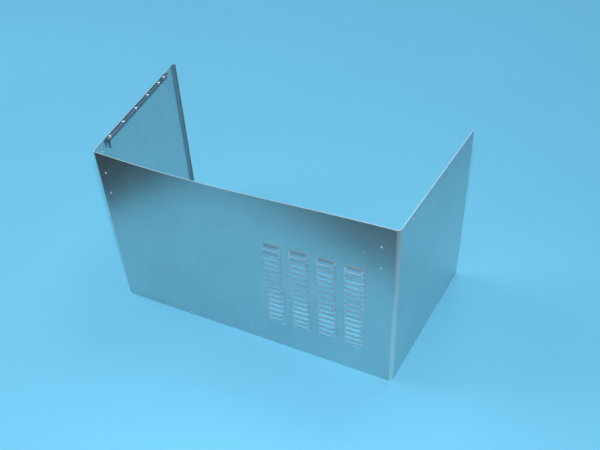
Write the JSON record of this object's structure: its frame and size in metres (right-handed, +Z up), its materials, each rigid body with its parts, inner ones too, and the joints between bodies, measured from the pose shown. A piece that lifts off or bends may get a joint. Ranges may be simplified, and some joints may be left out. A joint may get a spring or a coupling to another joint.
{
  "type": "sheet metal chassis",
  "caption": "U-shaped sheet metal chassis wrap: louvred front panel, two wings, a return flange, and an angle strip with small screws under one top edge.",
  "frame": {"origin": "middle of the front panel's lower edge, at mid thickness of its sheet", "axes": "+X along the front panel to its louvred end, +Y back into the box, +Z up"},
  "size_m": [0.573, 0.3104, 0.3],
  "materials": {
    "sheet_metal": "satin zinc-plated sheet",
    "strip_metal": "satin zinc-plated strip, a little darker",
    "screw_metal": "bright plated"
  },
  "bodies": {
    "root": {"folded_wrap": "sheet_metal", "angle_strip": "strip_metal", "end_clip": "strip_metal", "strip_screws": "screw_metal"}
  },
  "joints": []
}
